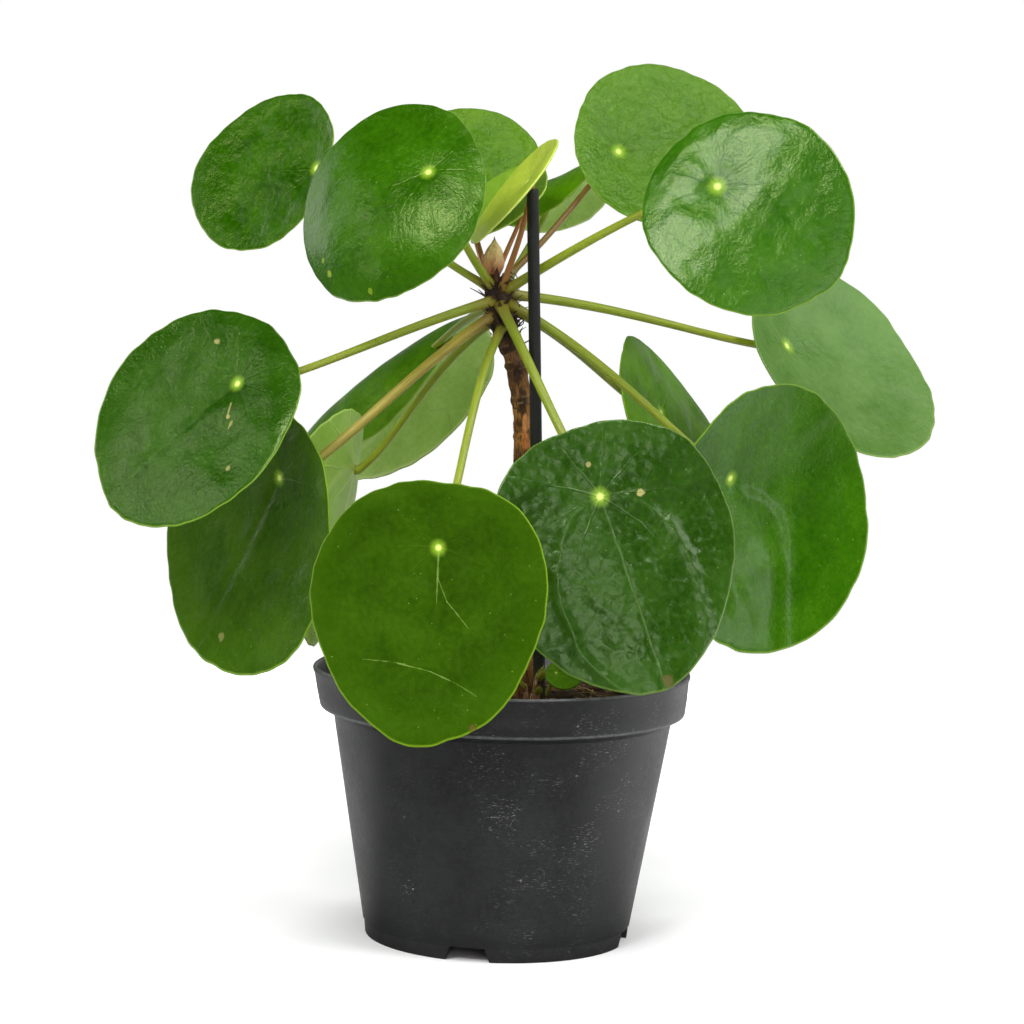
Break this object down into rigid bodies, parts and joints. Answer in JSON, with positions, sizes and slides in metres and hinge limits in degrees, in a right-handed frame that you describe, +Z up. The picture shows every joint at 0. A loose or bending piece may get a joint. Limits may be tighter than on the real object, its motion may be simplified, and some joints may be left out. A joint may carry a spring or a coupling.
{
  "type": "potted pilea plant",
  "caption": "Potted pilea: round leaves on long stalks from one woody stem, beside a support stake, in a black plastic nursery pot of peat.",
  "frame": {"origin": "middle of the flat pad of the pot's underside", "axes": "+Z up along the pot's axis, -Y towards the viewer of the front, +X to the viewer's right"},
  "size_m": [0.2733, 0.1868, 0.2814],
  "materials": {
    "pot_plastic": "satin black, scuffed",
    "peat": "crumbly, matte",
    "stake_plastic": "matte black",
    "bark": "rough, dry",
    "bud_tissue": "dry, papery",
    "leaf_green": "glossy, waxy",
    "young_leaf": "soft gloss",
    "green_stalk": "soft gloss",
    "young_stalk": "soft gloss",
    "brown_stalk": "soft gloss",
    "tan_stalk": "soft gloss"
  },
  "bodies": {
    "root": {"pot": "pot_plastic", "soil": "peat", "stake": "stake_plastic", "stem": "bark", "bud": "bud_tissue", "leaf_01_blade": "leaf_green", "leaf_01_stalk": "green_stalk", "leaf_02_blade": "leaf_green", "leaf_02_stalk": "green_stalk", "leaf_03_blade": "leaf_green", "leaf_03_stalk": "green_stalk", "leaf_04_blade": "young_leaf", "leaf_04_stalk": "young_stalk", "leaf_05_blade": "young_leaf", "leaf_05_stalk": "young_stalk", "leaf_06_blade": "leaf_green", "leaf_06_stalk": "green_stalk", "leaf_07_blade": "leaf_green", "leaf_07_stalk": "brown_stalk", "leaf_08_blade": "leaf_green", "leaf_08_stalk": "green_stalk", "leaf_09_blade": "leaf_green", "leaf_09_stalk": "green_stalk", "leaf_10_blade": "leaf_green", "leaf_10_stalk": "green_stalk", "leaf_11_blade": "leaf_green", "leaf_11_stalk": "green_stalk", "leaf_12_blade": "leaf_green", "leaf_12_stalk": "green_stalk", "leaf_13_blade": "leaf_green", "leaf_13_stalk": "green_stalk", "leaf_14_blade": "leaf_green", "leaf_14_stalk": "tan_stalk", "leaf_15_blade": "leaf_green", "leaf_15_stalk": "green_stalk", "leaf_16_blade": "leaf_green", "leaf_16_stalk": "green_stalk", "leaf_17_blade": "leaf_green", "leaf_17_stalk": "green_stalk", "offset_blade": "leaf_green", "offset_stalk": "green_stalk"}
  },
  "joints": []
}
